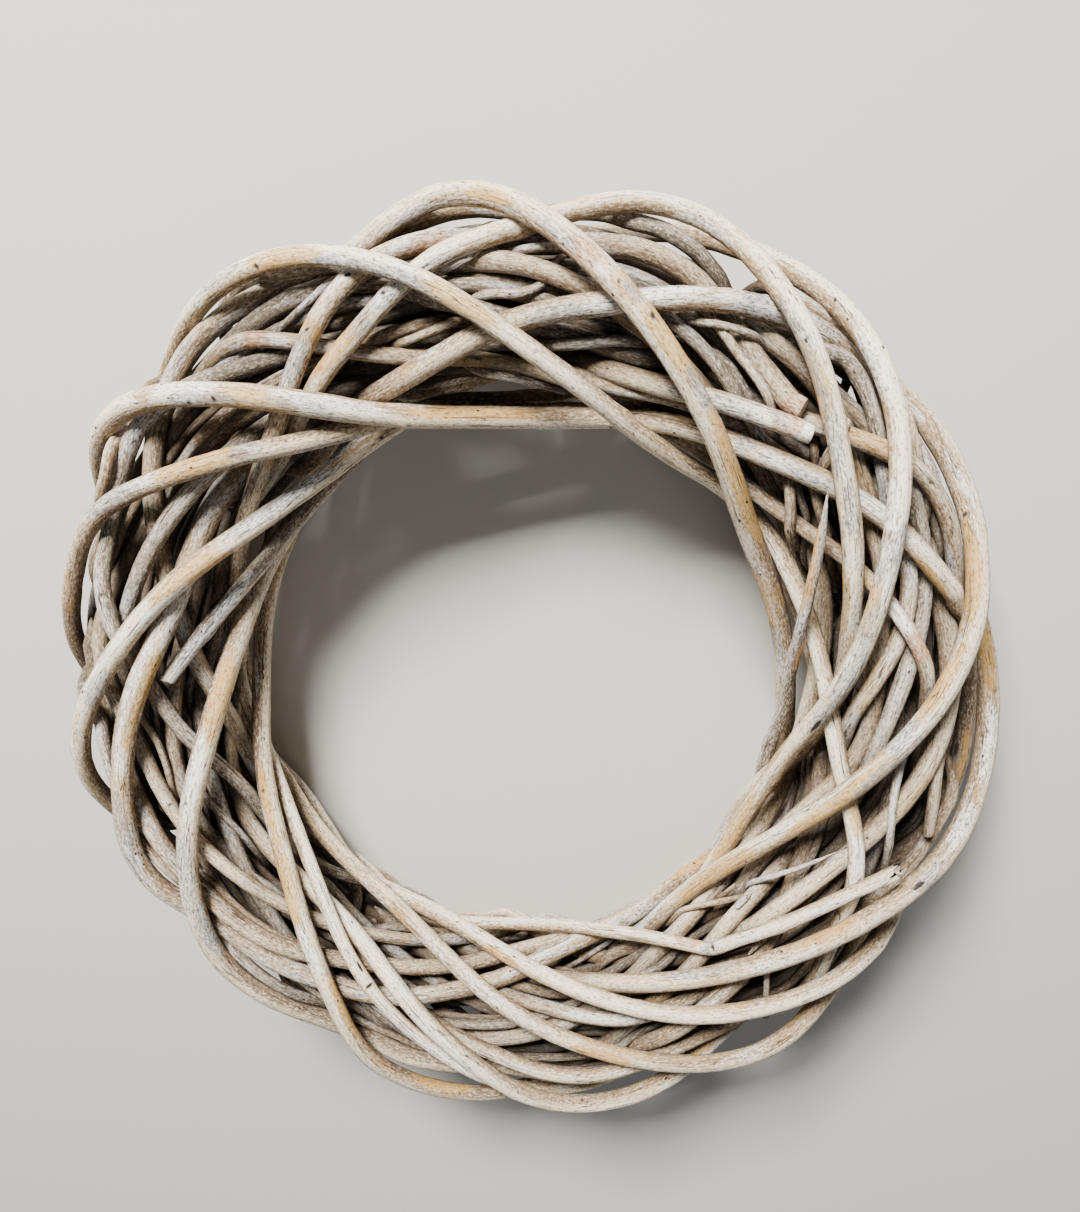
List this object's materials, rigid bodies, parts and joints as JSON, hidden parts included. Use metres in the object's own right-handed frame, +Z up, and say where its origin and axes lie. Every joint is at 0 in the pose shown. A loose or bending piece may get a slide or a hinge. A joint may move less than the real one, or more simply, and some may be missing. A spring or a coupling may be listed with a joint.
{
  "type": "willow wreath",
  "caption": "Round open wreath of stripped, whitewashed willow rods woven loosely into a thick ring, lying flat.",
  "frame": {"origin": "centre of the box round the wreath, on the surface it lies on", "axes": "+Z up, the ring's axis; +Y the side that is at the top of the picture; +X to the right in the picture"},
  "size_m": [0.4496, 0.4498, 0.1149],
  "materials": {
    "pale_willow": "stripped willow under a pale greige wash, matte",
    "tan_willow": "stripped willow, thin wash over warm tan wood, matte",
    "grey_willow": "weathered willow, grey-brown under a thin wash, matte"
  },
  "bodies": {
    "root": {"rod_inner_edge_s_curve": "pale_willow", "rod_top_bow": "tan_willow", "rod_left_to_right_bow": "pale_willow", "rod_left_hook": "tan_willow", "rod_left_bright": "pale_willow", "rod_left_thick": "tan_willow", "rod_top_second_bow": "pale_willow", "rod_top_third_bow": "tan_willow", "rod_top_cross": "tan_willow", "rod_right_long": "pale_willow", "rod_right_outer": "pale_willow", "rod_lower_right_thick": "pale_willow", "rod_bottom_bright": "pale_willow", "rod_bottom_outer": "pale_willow", "rod_left_inner_to_bottom": "tan_willow", "rod_left_vertical": "tan_willow", "rod_bottom_long": "pale_willow", "rod_lower_left_bright_thin": "pale_willow", "rod_hole_bottom": "pale_willow", "rod_lower_right_cross_a": "tan_willow", "rod_lower_right_cross_b": "tan_willow", "rod_bottom_cross": "pale_willow", "rod_bottom_inner_long": "tan_willow", "rod_bottom_inner_low": "tan_willow", "rod_bottom_inner_thin": "grey_willow", "rod_left_crossing_a": "grey_willow", "rod_left_crossing_b": "tan_willow", "rod_left_crossing_c": "tan_willow", "rod_left_grey_cut": "grey_willow", "rod_left_shadowed": "grey_willow", "rod_left_upright_a": "tan_willow", "rod_left_upright_b": "grey_willow", "rod_upper_right_cut_a": "pale_willow", "rod_upper_right_cut_b": "tan_willow", "rod_right_pale_thin": "pale_willow", "rod_right_tapered_tip": "grey_willow", "rod_right_curved_grey": "grey_willow", "rod_right_ochre": "tan_willow", "rod_right_pale_beside_ochre": "pale_willow", "rod_lower_right_mid": "tan_willow", "rod_right_behind_bow": "tan_willow", "rod_right_upright_grey": "grey_willow", "rod_top_left_inner_a": "pale_willow", "rod_top_left_inner_b": "grey_willow", "rod_top_inner_pale": "pale_willow", "rod_top_inner_grey": "grey_willow", "rod_upper_right_thin": "grey_willow", "rod_back_a": "tan_willow", "rod_back_b": "tan_willow", "rod_back_c": "tan_willow", "rod_back_d": "tan_willow", "rod_back_e": "tan_willow", "rod_back_f": "tan_willow", "rod_core_a": "grey_willow", "rod_core_b": "grey_willow", "rod_core_c": "grey_willow"}
  },
  "joints": []
}
